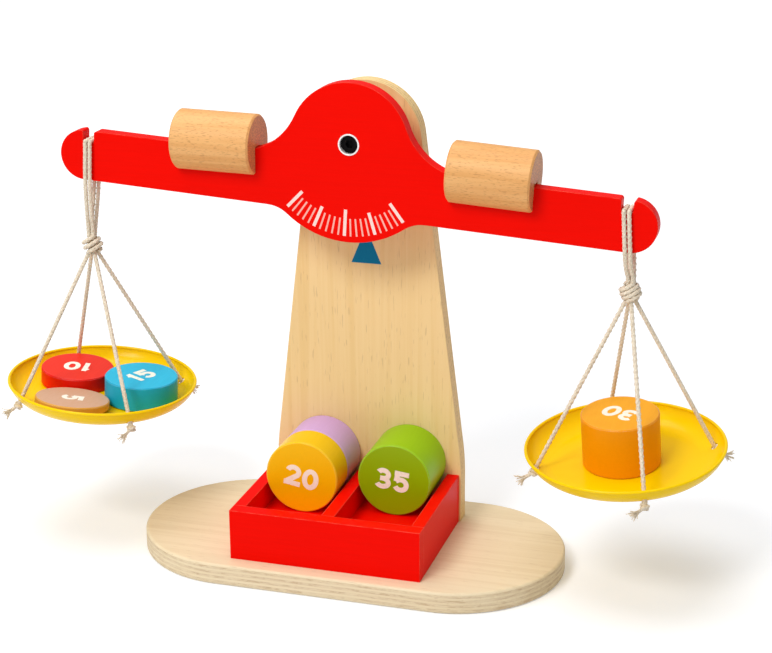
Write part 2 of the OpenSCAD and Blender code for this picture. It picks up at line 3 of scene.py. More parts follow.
import logging
import math
import random
from dataclasses import dataclass, field
from enum import Enum

import bmesh
import bpy
from mathutils import Matrix, Vector


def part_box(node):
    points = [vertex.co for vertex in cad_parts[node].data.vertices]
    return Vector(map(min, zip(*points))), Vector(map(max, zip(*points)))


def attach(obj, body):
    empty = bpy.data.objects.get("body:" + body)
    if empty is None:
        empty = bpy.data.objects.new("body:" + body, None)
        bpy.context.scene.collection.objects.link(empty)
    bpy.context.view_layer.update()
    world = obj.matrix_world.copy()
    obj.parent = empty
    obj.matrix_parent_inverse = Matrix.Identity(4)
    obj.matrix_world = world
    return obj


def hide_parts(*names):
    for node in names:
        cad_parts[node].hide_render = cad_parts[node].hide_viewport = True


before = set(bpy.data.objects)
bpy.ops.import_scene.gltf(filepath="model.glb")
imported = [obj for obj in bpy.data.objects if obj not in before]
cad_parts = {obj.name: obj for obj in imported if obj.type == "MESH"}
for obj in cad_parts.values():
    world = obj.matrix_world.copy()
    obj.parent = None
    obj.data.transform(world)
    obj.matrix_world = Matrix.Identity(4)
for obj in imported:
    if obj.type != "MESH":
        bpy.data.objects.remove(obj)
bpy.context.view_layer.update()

MM = 0.001
PHOTO_WIDTH = 772
LOG = logging.getLogger("balance_scale")

Colour = tuple[float, float, float]
Point = tuple[float, float, float]
Socket = bpy.types.NodeSocket
Material = bpy.types.Material


class Side(Enum):
    """One end of the beam, with its sign along X."""

    LEFT = -1
    RIGHT = 1

    @property
    def word(self) -> str:
        """The side's name as the solids use it."""
        return self.name.lower()


class Axis(Enum):
    """A direction that grain runs along or plies are stacked along."""

    X = 0
    Y = 1
    Z = 2

    def point(self, along: float, across: float) -> Point:
        """One value along this axis and another across it.

        Args:
            along: The value on this axis.
            across: The value on the other two.

        Returns:
            The three values.
        """
        values = [across] * 3
        values[self.value] = along
        return tuple(values)


def mm(*values: float) -> Vector:
    """Turn a point in millimetres into a vector in metres.

    Args:
        *values: The point's three coordinates in millimetres.

    Returns:
        The same point in metres.
    """
    return Vector([value * MM for value in values])


def triple(value: float | Point) -> Point:
    """Spread one number over three axes, or keep three as they are."""
    return value if isinstance(value, tuple) else (value, value, value)


class Shader:
    """One node material while it is being wired."""

    def __init__(self, name: str) -> None:
        """Start an empty material with one principled surface.

        Args:
            name: The material's name.
        """
        self.material = bpy.data.materials.new(name)
        self.material.use_nodes = True
        self.tree = self.material.node_tree
        self.tree.nodes.clear()
        self.output = self.tree.nodes.new("ShaderNodeOutputMaterial")
        self.surface = self.tree.nodes.new("ShaderNodeBsdfPrincipled")
        self.wire(self.surface.outputs["BSDF"], self.output.inputs["Surface"])

    def wire(self, source: Socket, target: Socket) -> None:
        """Join two sockets."""
        self.tree.links.new(source, target)

    def feed(self, target: Socket, value: object) -> None:
        """Give a socket a link or a plain value.

        Args:
            target: The input to fill.
            value: Another node's output, or a number, vector or colour.
        """
        if isinstance(value, Socket):
            self.wire(value, target)
        elif isinstance(value, tuple) and len(value) == 3 and target.type == "RGBA":
            target.default_value = (*value, 1.0)
        else:
            target.default_value = value

    def place(self) -> Socket:
        """The point being shaded, in metres in the part's frame."""
        return self.tree.nodes.new("ShaderNodeTexCoord").outputs["Object"]

    def along(self, axis: Axis) -> Socket:
        """One coordinate of the shaded point."""
        split = self.tree.nodes.new("ShaderNodeSeparateXYZ")
        self.wire(self.place(), split.inputs["Vector"])
        return split.outputs[axis.value]

    def noise(
        self,
        cells: float | Point,
        detail: float = 3.0,
        roughness: float = 0.55,
        warp: float = 0.0,
        shift: float | Point = 0.0,
    ) -> Socket:
        """Soft noise in the part's frame.

        Args:
            cells: Pattern cells for each metre, alike on all axes or one number for each.
            detail: Number of finer octaves.
            roughness: Strength of the finer octaves.
            warp: Distortion of the pattern.
            shift: Shift of the pattern in cells, alike on all axes or one number for each.

        Returns:
            The noise value's socket, about 0 to 1.
        """
        mapping = self.tree.nodes.new("ShaderNodeMapping")
        mapping.inputs["Scale"].default_value = triple(cells)
        mapping.inputs["Location"].default_value = triple(shift)
        self.wire(self.place(), mapping.inputs["Vector"])
        node = self.tree.nodes.new("ShaderNodeTexNoise")
        settings = {"Scale": 1.0, "Detail": detail, "Roughness": roughness, "Distortion": warp}
        for socket, number in settings.items():
            node.inputs[socket].default_value = number
        self.wire(mapping.outputs["Vector"], node.inputs["Vector"])
        return node.outputs["Fac"]

    def math(self, operation: str, first: object, second: object = 0.0) -> Socket:
        """One arithmetic step.

        Args:
            operation: The name of the operation.
            first: First number or socket.
            second: Second number or socket.

        Returns:
            The result's socket.
        """
        node = self.tree.nodes.new("ShaderNodeMath")
        node.operation = operation
        self.feed(node.inputs[0], first)
        self.feed(node.inputs[1], second)
        return node.outputs[0]

    def band(self, value: object, low: float, high: float, bottom: float = 0.0, top: float = 1.0) -> Socket:
        """Map a range of a value smoothly onto another range.

        Args:
            value: The number or socket that is mapped.
            low: Input at which the result is bottom.
            high: Input at which the result is top.
            bottom: Result at and below low.
            top: Result at and above high.

        Returns:
            The mapped value's socket.
        """
        node = self.tree.nodes.new("ShaderNodeMapRange")
        node.interpolation_type = "SMOOTHSTEP"
        self.feed(node.inputs["Value"], value)
        for socket, number in (("From Min", low), ("From Max", high), ("To Min", bottom), ("To Max", top)):
            node.inputs[socket].default_value = number
        return node.outputs["Result"]

    def mix(self, factor: object, first: object, second: object) -> Socket:
        """Blend two colours.

        Args:
            factor: Share of the second colour.
            first: Colour or socket at factor 0.
            second: Colour or socket at factor 1.

        Returns:
            The blended colour's socket.
        """
        node = self.tree.nodes.new("ShaderNodeMix")
        node.data_type = "RGBA"
        self.feed(node.inputs[0], factor)
        self.feed(node.inputs[6], first)
        self.feed(node.inputs[7], second)
        return node.outputs[2]

    def edge(self, radius: float) -> Socket:
        """The surface's direction with sharp edges rounded over a radius in metres."""
        node = self.tree.nodes.new("ShaderNodeBevel")
        node.samples = 6
        node.inputs["Radius"].default_value = radius
        return node.outputs["Normal"]

    def facing(self, direction: Point) -> Socket:
        """How squarely the solid's own surface faces a direction, either way along it.

        Args:
            direction: The direction, of length 1.

        Returns:
            A share from 0 on faces along it to 1 on faces square to it.
        """
        return self.math("ABSOLUTE", self.agreement("True Normal", direction))

    def agreement(self, normal: str, other: object) -> Socket:
        """How far one of the surface's own directions agrees with another direction.

        Args:
            normal: Which of the surface's directions is read.
            other: The direction or socket that it is held against.

        Returns:
            1 where they point the same way and 0 where they are square.
        """
        geometry = self.tree.nodes.new("ShaderNodeNewGeometry")
        product = self.tree.nodes.new("ShaderNodeVectorMath")
        product.operation = "DOT_PRODUCT"
        self.wire(geometry.outputs[normal], product.inputs[0])
        self.feed(product.inputs[1], other)
        return product.outputs["Value"]

    def rubbed(
        self, radius: float, turn: tuple[float, float], cells: float, patch: tuple[float, float, float, float]
    ) -> Socket:
        """A mask in patches along the edges, where the finishes lay their edge colours.

        Args:
            radius: Reach of the mask from an edge, in metres.
            turn: Agreement with the rounded edge at which the mask is full, and at which it ends.
            cells: Patches for each metre.
            patch: Noise outside and inside a patch, then the mask's value outside and inside it.

        Returns:
            A share from 0 on flat faces to 1 in the patches on edges.
        """
        turned = self.band(self.agreement("Normal", self.edge(radius)), *turn, 1.0, 0.0)
        return self.math("MULTIPLY", turned, self.band(self.noise(cells), *patch))

    def paint(self, colour: Socket) -> None:
        """Give the surface its colour."""
        self.wire(colour, self.surface.inputs["Base Color"])

    def gloss(self, roughness: float, level: float, coat: float, coat_roughness: float) -> None:
        """Set how the surface shines.

        Args:
            roughness: Roughness of the surface beneath.
            level: Strength of its own reflection, 0.5 for plain varnish.
            coat: Share of clear coat over it.
            coat_roughness: Roughness of that coat.
        """
        self.surface.inputs["Roughness"].default_value = roughness
        self.surface.inputs["Specular IOR Level"].default_value = level
        self.surface.inputs["Coat Weight"].default_value = coat
        self.surface.inputs["Coat Roughness"].default_value = coat_roughness

    def relief(self, height: Socket, depth: float, base: Socket | None = None) -> None:
        """Raise and sink the surface by a pattern.

        Args:
            height: The pattern, 0 to 1.
            depth: Depth of the relief in metres.
            base: Direction of the surface beneath, or None for its own.
        """
        node = self.tree.nodes.new("ShaderNodeBump")
        node.inputs["Distance"].default_value = depth
        self.wire(height, node.inputs["Height"])
        if base is not None:
            self.wire(base, node.inputs["Normal"])
        self.wire(node.outputs["Normal"], self.surface.inputs["Normal"])


@dataclass(frozen=True)
class Finish:
    """A named finish that is wired as one node material."""

    name: str

    def material(self) -> Material:
        """Make the finish's material."""
        shader = Shader(self.name)
        self.build(shader)
        return shader.material

    def build(self, shader: Shader) -> None:
        """Wire the finish.

        Args:
            shader: The material being wired.
        """
        raise NotImplementedError


@dataclass(frozen=True)
class Lacquer(Finish):
    """Coloured lacquer over sanded wood, whose grain still shows faintly."""

    colour: Colour
    grain: Axis = Axis.X
    edge_radius: float = 0.7
    end_colour: Colour | None = None
    end_axis: Point = (0.0, 0.0, 1.0)
    edge_colour: Colour | None = None
    grain_depth: float = 0.012
    roughness: float = 0.36
    level: float = 0.14
    coat: float = 0.03
    streak_share: float = 0.16
    streak_tone: float = 0.8
    deep_tone: float = 0.94

    def build(self, shader: Shader) -> None:
        """Wire the finish."""
        grain = shader.noise(self.grain.point(45.0, 900.0), detail=4.0)
        cloud = shader.noise(14.0, detail=1.0)
        colour = self.tone(shader, self.colour, cloud)
        # On the discs the end colour is partly paint, darker on the end grain of the discs that face forward,
        # and partly painted top light and sheen, lighter and whiter on the faces that look up out of the
        # pans.
        if self.end_colour is not None:
            end = self.tone(shader, self.end_colour, cloud)
            colour = shader.mix(shader.band(shader.facing(self.end_axis), 0.9, 0.98), colour, end)
        streak = shader.band(grain, 0.3, 0.7, 0.0, self.streak_share)
        colour = shader.mix(streak, colour, tuple(channel * self.streak_tone for channel in self.colour))
        # Edge colour laid in patches along the edges: a painted highlight on the red lacquer; on the discs
        # partly paint laid thin and partly a painted highlight.
        if self.edge_colour is not None:
            edge_mask = shader.rubbed(self.edge_radius * MM, (0.86, 0.995), 160.0, (0.35, 0.6, 0.25, 0.8))
            colour = shader.mix(edge_mask, colour, self.edge_colour)
        shader.paint(colour)
        shader.gloss(self.roughness, self.level, self.coat, 0.15)
        shader.relief(grain, self.grain_depth * MM, shader.edge(self.edge_radius * MM))

    def tone(self, shader: Shader, colour: Colour, cloud: Socket) -> Socket:
        """A colour that drifts a little over the surface.

        Args:
            shader: The material being wired.
            colour: The colour at its lightest.
            cloud: The drift's pattern.

        Returns:
            The colour's socket.
        """
        deep = tuple(channel * self.deep_tone for channel in colour)
        return shader.mix(shader.band(cloud, 0.0, 1.0), deep, colour)


@dataclass(frozen=True)
class Plywood(Finish):
    """Pale birch plywood under matt lacquer: faces with fine grain, edges with plies."""

    stack: Axis
    face_grain: Axis
    origin: float
    thickness: float
    plies: int
    pale: Colour = (0.90, 0.66, 0.32)
    warm: Colour = (0.84, 0.58, 0.24)
    dark_ply: Colour = (0.47, 0.29, 0.15)
    seed: float = 0.0
    ply_wave: float = 0.25

    def build(self, shader: Shader) -> None:
        """Wire the finish."""
        figure = shader.noise(self.face_grain.point(5.0, 260.0), 4.0, 0.6, 0.6, self.seed)
        pores = self.pores(shader)
        cloud = shader.noise(self.face_grain.point(3.0, 18.0), 2.0, shift=self.seed)
        face = shader.mix(shader.band(figure, 0.35, 0.68), self.pale, self.warm)
        face = shader.mix(shader.band(cloud, 0.3, 0.7, 0.0, 0.5), face, self.pale)
        face = shader.mix(shader.math("MULTIPLY", pores, 0.35), face, self.dark_ply)
        side = shader.band(shader.facing(self.stack.point(1.0, 0.0)), 0.55, 0.8, 1.0, 0.0)
        shader.paint(shader.mix(side, face, self.plies_colour(shader, face)))
        shader.gloss(0.5, 0.16, 0.02, 0.3)
        shader.relief(shader.math("ADD", figure, pores), 0.02 * MM, shader.edge(0.5 * MM))

    def plies_colour(self, shader: Shader, face: Socket) -> Socket:
        """The board's edge: long-grain plies, darker end-grain ones and thin glue lines.

        Args:
            shader: The material being wired.
            face: The colour of long grain.

        Returns:
            The edge colour's socket.
        """
        wander = shader.noise(9.0, 2.0, shift=self.seed)
        height = shader.math("SUBTRACT", shader.along(self.stack), self.origin * MM)
        wave = self.ply_wave * MM
        height = shader.math("ADD", height, shader.band(wander, 0.0, 1.0, -wave, wave))
        layer = shader.math("DIVIDE", height, self.thickness / self.plies * MM)
        half = shader.math("FRACT", shader.math("MULTIPLY", layer, 0.5))
        cross = shader.math("MULTIPLY", shader.band(half, 0.47, 0.52), shader.band(half, 0.95, 1.0, 1.0, 0.0))
        fibres = shader.noise((160.0, 160.0, 900.0), 4.0, 0.7, shift=self.seed)
        end = shader.mix(shader.band(fibres, 0.4, 0.7), self.warm, self.dark_ply)
        colour = shader.mix(shader.math("MULTIPLY", cross, 0.62), face, end)
        part = shader.math("FRACT", layer)
        glue = shader.math("ABSOLUTE", shader.math("SUBTRACT", part, 0.5))
        return shader.mix(shader.band(glue, 0.44, 0.495, 0.0, 0.4), colour, self.dark_ply)

    def pores(self, shader: Shader) -> Socket:
        """Short dark pore marks that run with the grain.

        Args:
            shader: The material being wired.

        Returns:
            A share from 0 between pores to 1 in them.
        """
        marks = shader.noise(self.face_grain.point(110.0, 1500.0), 1.0, shift=self.seed)
        return shader.band(marks, 0.66, 0.74)


@dataclass(frozen=True)
class Beech(Finish):
    """Turned beech: pinkish straw with short ray flecks, darker on the faces that look along its axis."""

    seed: float
    axis: Point = (1.0, 0.0, 0.0)
    pale: Colour = (0.82, 0.44, 0.165)
    warm: Colour = (0.72, 0.345, 0.11)
    fleck: Colour = (0.48, 0.22, 0.07)
    end: Colour = (0.42, 0.19, 0.09)

    def build(self, shader: Shader) -> None:
        """Wire the finish."""
        shift = (self.seed, self.seed * 1.7, self.seed * 0.6)
        figure = shader.noise(Axis.X.point(7.0, 150.0), 4.0, 0.6, 0.8, shift)
        flecks = shader.noise(Axis.X.point(420.0, 1900.0), 1.0, 0.4, shift=shift)
        fine = shader.noise(Axis.X.point(40.0, 1100.0), shift=shift)
        colour = shader.mix(shader.band(figure, 0.32, 0.68), self.pale, self.warm)
        colour = shader.mix(shader.band(fine, 0.3, 0.7, 0.0, 0.25), colour, self.pale)
        colour = shader.mix(shader.band(flecks, 0.56, 0.68, 0.0, 0.5), colour, self.fleck)
        dots = shader.noise(Axis.X.point(60.0, 1300.0), 2.0, shift=shift)
        end = shader.mix(shader.band(dots, 0.35, 0.65), self.end, self.warm)
        colour = shader.mix(shader.band(shader.facing(self.axis), 0.75, 0.97), colour, end)
        shader.paint(colour)
        shader.gloss(0.46, 0.2, 0.03, 0.25)
        shader.relief(shader.math("ADD", figure, flecks), 0.02 * MM, shader.edge(0.5 * MM))


@dataclass(frozen=True)
class Metal(Finish):
    """Plated or blackened metal with fine machining lines."""

    colour: Colour
    metallic: float
    roughness: float
    level: float = 0.5

    def build(self, shader: Shader) -> None:
        """Wire the finish."""
        lines = shader.noise(Axis.Y.point(90.0, 1800.0))
        tone = shader.mix(shader.band(lines, 0.3, 0.7), tuple(c * 0.86 for c in self.colour), self.colour)
        shader.paint(tone)
        shader.surface.inputs["Metallic"].default_value = self.metallic
        shader.surface.inputs["Specular IOR Level"].default_value = self.level
        shader.wire(
            shader.band(lines, 0.3, 0.7, self.roughness * 0.8, self.roughness * 1.25),
            shader.surface.inputs["Roughness"],
        )
        shader.relief(lines, 0.006 * MM, shader.edge(0.25 * MM))


@dataclass(frozen=True)
class Enamel(Finish):
    """Gloss enamel on pressed sheet steel, with a slight orange peel and a darker line in patches along the
    rim's edge.
    """

    colour: Colour = (0.94, 0.63, 0.0)
    shade: Colour = (0.91, 0.58, 0.0)
    worn: Colour = (0.42, 0.27, 0.08)
    rim_radius: float = 0.6

    def build(self, shader: Shader) -> None:
        """Wire the finish."""
        cloud = shader.noise(24.0, 2.0)
        peel = shader.noise(420.0, 2.0)
        colour = shader.mix(shader.band(cloud, 0.0, 1.0), self.colour, self.shade)
        # A darker brown laid in patches along the rim's edge.
        edge_mask = shader.rubbed(self.rim_radius * MM, (0.8, 0.98), 300.0, (0.46, 0.6, 0.1, 0.75))
        shader.paint(shader.mix(edge_mask, colour, self.worn))
        shader.gloss(0.24, 0.12, 0.03, 0.08)
        shader.relief(peel, 0.01 * MM)


@dataclass(frozen=True)
class Cotton(Finish):
    """Natural braided cotton: cream, fibrous and soft."""

    pale: Colour = (0.86, 0.76, 0.60)
    dark: Colour = (0.50, 0.38, 0.24)

    def build(self, shader: Shader) -> None:
        """Wire the finish."""
        fibre = shader.noise(Axis.Z.point(700.0, 1700.0), 4.0, 0.7)
        cloud = shader.noise(90.0, 2.0)
        colour = shader.mix(shader.band(fibre, 0.32, 0.6), self.dark, self.pale)
        colour = shader.mix(shader.band(cloud, 0.3, 0.7, 0.1, 0.4), colour, self.pale)
        shader.paint(colour)
        shader.surface.inputs["Roughness"].default_value = 0.88
        shader.surface.inputs["Sheen Weight"].default_value = 0.3
        shader.surface.inputs["Sheen Roughness"].default_value = 0.5
        shader.relief(fibre, 0.12 * MM)


@dataclass(frozen=True)
class Ink(Finish):
    """Screen-printed paint: one colour, slightly uneven where it was laid thin."""

    colour: Colour
    thin: Colour

    def build(self, shader: Shader) -> None:
        """Wire the finish."""
        patch = shader.noise(700.0)
        shader.paint(shader.mix(shader.band(patch, 0.5, 0.75, 0.0, 0.6), self.colour, self.thin))
        shader.gloss(0.45, 0.1, 0.0, 0.2)
        shader.relief(patch, 0.01 * MM)


def finish_node(name: str, material: Material) -> None:
    """Give one solid its finish.

    Args:
        name: The solid's name.
        material: The material for its surface.
    """
    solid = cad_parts[name]
    if not solid.material_slots:
        solid.data.materials.append(material)
    for slot in solid.material_slots:
        slot.material = material
    LOG.info("finished %s with %s", name, material.name)


def mesh_piece(
    name: str, points: list[Vector], faces: list[tuple[int, ...]], material: Material, smooth: bool
) -> bpy.types.Object:
    """Make one mesh object.

    Args:
        name: The piece's name.
        points: Its corners in metres.
        faces: Its faces as indices of corners.
        material: Its material.
        smooth: Whether its faces are shaded smooth.

    Returns:
        The new object.
    """
    mesh = bpy.data.meshes.new(name)
    mesh.from_pydata([tuple(point) for point in points], [], faces)
    work = bmesh.new()
    work.from_mesh(mesh)
    bmesh.ops.recalc_face_normals(work, faces=work.faces)
    for face in work.faces:
        face.smooth = smooth
    work.to_mesh(mesh)
    work.free()
    mesh.materials.append(material)
    piece = bpy.data.objects.new(name, mesh)
    bpy.context.scene.collection.objects.link(piece)
    return piece


@dataclass
class MeshBag:
    """Corners and faces of several closed shapes that make one piece."""

    points: list[Vector] = field(default_factory=list)
    faces: list[tuple[int, ...]] = field(default_factory=list)

    def tube(self, rings: list[list[Vector]], closed: bool = False) -> None:
        """Add a tube through rings of equal count.

        Args:
            rings: The rings in order.
            closed: Whether the last ring joins the first.
        """
        base, sides = len(self.points), len(rings[0])
        for ring in rings:
            self.points.extend(ring)
        spans = len(rings) if closed else len(rings) - 1
        for i in range(spans):
            here, there = base + i * sides, base + (i + 1) % len(rings) * sides
            for k in range(sides):
                n = (k + 1) % sides
                self.faces.append((here + k, there + k, there + n, here + n))
        if not closed:
            self.faces.append(tuple(range(base, base + sides)))
            self.faces.append(tuple(range(base + (len(rings) - 1) * sides, base + len(rings) * sides))[::-1])

    def slab(self, outline: list[Vector], depth: Vector) -> None:
        """Add a flat shape with a thickness.

        Args:
            outline: Its corners in order.
            depth: The step from its front to its back.
        """
        base, count = len(self.points), len(outline)
        self.points.extend(outline)
        self.points.extend(point + depth for point in outline)
        self.faces.append(tuple(range(base, base + count)))
        self.faces.append(tuple(range(base + count, base + 2 * count))[::-1])
        for k in range(count):
            n = (k + 1) % count
            self.faces.append((base + k, base + n, base + count + n, base + count + k))


def smooth_route(points: list[Vector], step: float) -> list[Vector]:
    """Lay an even, smooth line through chosen points.

    Args:
        points: The points that the line passes through.
        step: Distance between the line's points.

    Returns:
        Points along the line, both ends included.
    """
    padded = [points[0] * 2 - points[1], *points, points[-1] * 2 - points[-2]]
    dense: list[Vector] = []
    for i in range(1, len(padded) - 2):
        p0, p1, p2, p3 = padded[i - 1 : i + 3]
        count = max(2, int((p2 - p1).length / step * 2))
        for j in range(count):
            t = j / count
            dense.append(
                0.5
                * (
                    2 * p1
                    + (p2 - p0) * t
                    + (2 * p0 - 5 * p1 + 4 * p2 - p3) * t * t
                    + (3 * p1 - p0 - 3 * p2 + p3) * t * t * t
                )
            )
    dense.append(points[-1].copy())
    gaps = [(b - a).length for a, b in zip(dense, dense[1:])]
    total = sum(gaps)
    count = max(2, round(total / step))
    route, walked, i = [dense[0].copy()], 0.0, 0
    for k in range(1, count):
        goal = total * k / count
        while walked + gaps[i] < goal:
            walked += gaps[i]
            i += 1
        route.append(dense[i].lerp(dense[i + 1], (goal - walked) / gaps[i]))
    route.append(dense[-1].copy())
    return route


@dataclass(frozen=True)
class Braid:
    """A braided cord: a round tube whose surface bulges where its yarns cross."""

    diameter: float
    sides: int = 16
    step: float = 0.45
    yarns: int = 4
    pitch: float = 3.1
    bulge: float = 0.2

    def rings(self, route: list[Vector], turn: float = 0.0) -> list[list[Vector]]:
        """Sweep the cord along a route.

        Args:
            route: Even points along the cord's middle, in metres.
            turn: Turn of the braid about the cord, in radians.

        Returns:
            The rings of the cord's surface.
        """
        rings: list[list[Vector]] = []
        tangent = (route[1] - route[0]).normalized()
        side = tangent.orthogonal().normalized()
        walked = 0.0
        for i, point in enumerate(route):
            ahead = route[min(i + 1, len(route) - 1)] - route[max(i - 1, 0)]
            tangent = ahead.normalized()
            side = (side - tangent * side.dot(tangent)).normalized()
            other = tangent.cross(side)
            if i:
                walked += (point - route[i - 1]).length
            wave = math.cos(2 * math.pi * walked / (self.pitch * MM))
            ring = []
            for k in range(self.sides):
                angle = 2 * math.pi * k / self.sides + turn
                swell = math.cos(self.yarns * 2 * math.pi * k / self.sides) * wave
                radius = self.diameter / 2 * MM * (1 - self.bulge + self.bulge * swell)
                ring.append(point + (side * math.cos(angle) + other * math.sin(angle)) * radius)
            rings.append(ring)
        return rings

    def lay(self, bag: MeshBag, points: list[Vector]) -> None:
        """Add a length of cord to a piece.

        Args:
            bag: The piece's shapes.
            points: The points that the cord passes through, in metres.
        """
        bag.tube(self.rings(smooth_route(points, self.step * MM)))


@dataclass
class Stand:
    """Base board, post, tray and their screws, with the pointer mark on the post."""

    mark_base_z: float = 160.5
    mark_tip_z: float = 181.0
    mark_half_width: float = 8.6
    ink_depth: float = 0.05

    def dress(self, red: Material) -> None:
        """Finish every solid of the stand and paint the pointer mark.

        Args:
            red: The tray's lacquer.
        """
        pale, warm = (0.82, 0.69, 0.47), (0.76, 0.62, 0.40)
        base = Plywood("birch_base", Axis.Z, Axis.X, 0.0, 12.0, 9, pale, warm, seed=1.0)
        finish_node("base_board", base.material())
        low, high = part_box("post")
        thickness = (high.y - low.y) / MM
        post = Plywood("birch_post", Axis.Y, Axis.Z, low.y / MM, thickness, 7, seed=4.0)
        finish_node("post", post.material())
        for name in ("tray_front", "tray_left_side", "tray_right_side", "tray_divider", "tray_floor"):
            finish_node(name, red)
        zinc = Metal("zinc_screw", (0.62, 0.61, 0.58), 1.0, 0.34).material()
        finish_node("base_screws", zinc)
        finish_node("post_screws", zinc)
        self.paint_mark(low.y / MM)

    def paint_mark(self, face_y: float) -> None:
        """Paint the blue triangle that the beam's marks are read against.

        Args:
            face_y: The post's front face in millimetres.
        """
        ink = Ink("pointer_blue", (0.0, 0.18, 0.34), (0.005, 0.21, 0.38)).material()
        bag = MeshBag()
        y = face_y - self.ink_depth
        corners = [
            mm(-self.mark_half_width, y, self.mark_base_z),
            mm(self.mark_half_width, y, self.mark_base_z),
            mm(0, y, self.mark_tip_z),
        ]
        bag.slab(corners, mm(0, self.ink_depth * 1.5, 0))
        piece = mesh_piece("pointer_mark", bag.points, bag.faces, ink, False)
        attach(piece, "stand")
        LOG.info("painted the pointer mark")


@dataclass
class Pivot:
    """Bolt, bush, spacer, washer and cap nut."""

    def dress(self) -> None:
        """Finish the pivot's solids."""
        finish_node("pivot_bolt", Metal("black_oxide", (0.004, 0.0035, 0.0035), 0.0, 0.5, 0.06).material())
        bright = Metal("bright_nickel", (0.93, 0.91, 0.88), 0.4, 0.3).material()
        finish_node("pivot_bush", bright)
        zinc = Metal("zinc_nut", (0.55, 0.54, 0.52), 1.0, 0.3).material()
        finish_node("pivot_washer", zinc)
        finish_node("pivot_nut", zinc)
        finish_node("pivot_spacer", Beech("beech_spacer", 9.0, (0.0, 1.0, 0.0)).material())


@dataclass
class Beam:
    """The red beam and the graduation printed on its lobe."""

    pivot: Point = (0.0, 1.6, 233.4)
    lean: float = 3.5
    step: float = 4.0
    left_step: float = 4.08
    marks_each_side: int = 10
    major_every: int = 5
    outer_r: float = 49.8
    minor_r: float = 40.2
    major_r: float = 37.6
    middle_r: float = 35.3
    minor_w: float = 0.95
    major_w: float = 1.75
    ink_depth: float = 0.05

    def dress(self, red: Material) -> None:
        """Finish the beam and print its graduation.

        Args:
            red: The beam's lacquer.
        """
        finish_node("beam", red)
        self.print_marks()

    def at(self, radius: float, angle: float, aside: float, y: float) -> Vector:
        """A point on the beam's face.

        Args:
            radius: Distance from the pivot.
            angle: Angle from straight down, in degrees, in the beam's own frame.
            aside: Step across the ray.
            y: The point's place from front to back.

        Returns:
            The point in metres.
        """
        turn = math.radians(angle)
        u = radius * math.sin(turn) + aside * math.cos(turn)
        v = -radius * math.cos(turn) + aside * math.sin(turn)
        lean = math.radians(self.lean)
        x = u * math.cos(lean) + v * math.sin(lean)
        z = v * math.cos(lean) - u * math.sin(lean)
        return mm(self.pivot[0] + x, y, self.pivot[2] + z)

    def print_marks(self) -> None:
        """Print the white marks, longer and broader at every fifth one."""
        bright = Ink("mark_white", (0.96, 0.71, 0.64), (0.94, 0.52, 0.45)).material()
        faint = Ink("mark_pink", (0.95, 0.45, 0.38), (0.90, 0.28, 0.22)).material()
        self.print_rays("long_marks", True, bright)
        self.print_rays("short_marks", False, faint)

    def print_rays(self, name: str, majors: bool, ink: Material) -> None:
        """Print the long or the short marks.

        Args:
            name: The piece's name.
            majors: Whether the long marks are printed, or else the short ones.
            ink: Their paint.
        """
        y = self.pivot[1] - self.ink_depth
        bag = MeshBag()
        for i in range(-self.marks_each_side, self.marks_each_side + 1):
            major = i % self.major_every == 0
            if major != majors:
                continue
            inner = (self.major_r if i else self.middle_r) if major else self.minor_r
            half = (self.major_w if major else self.minor_w) / 2
            angle = i * (self.step if i > 0 else self.left_step)
            corners = [
                self.at(inner, angle, -half, y),
                self.at(self.outer_r, angle, -half, y),
                self.at(self.outer_r, angle, half, y),
                self.at(inner, angle, half, y),
            ]
            bag.slab(corners, mm(0, self.ink_depth * 1.4, 0))
        piece = mesh_piece(name, bag.points, bag.faces, ink, False)
        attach(piece, "beam")
        LOG.info("printed %s", name)


@dataclass
class Counterweights:
    """The two beech rounds that straddle the arms."""

    def dress(self) -> None:
        """Finish both counterweights."""
        finish_node("left_counterweight", Beech("beech_left", 2.0).material())
        finish_node("right_counterweight", Beech("beech_right", 5.3).material())


